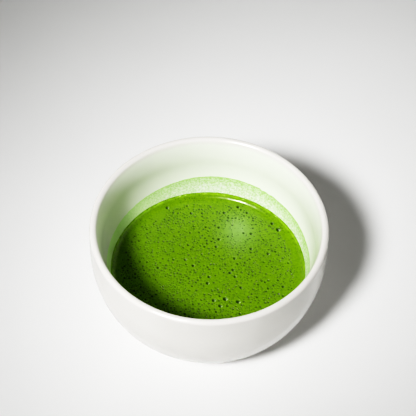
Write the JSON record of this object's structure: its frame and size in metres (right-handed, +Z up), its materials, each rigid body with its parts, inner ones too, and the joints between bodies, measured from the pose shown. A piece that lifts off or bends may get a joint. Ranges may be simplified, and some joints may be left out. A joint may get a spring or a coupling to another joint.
{
  "type": "tea bowl",
  "caption": "Round ceramic tea bowl with an upright wall, rounded belly and foot ring, holding whisked green tea with froth and a ring of foam on the inner wall.",
  "frame": {"origin": "centre of the foot ring, on the plane that the bowl stands on", "axes": "+Z up along the bowl's axis; +Y towards the side where the foam ring stands tallest, away from the camera's side; +X to the right"},
  "size_m": [0.12, 0.12, 0.06],
  "materials": {
    "glazed_stoneware": "satin",
    "liquid_tea": "gloss",
    "tea_froth": "satin",
    "foam_residue": "satin"
  },
  "bodies": {
    "root": {"bowl": "glazed_stoneware", "tea": "liquid_tea", "froth": "tea_froth", "foam_ring": "foam_residue"}
  },
  "joints": []
}
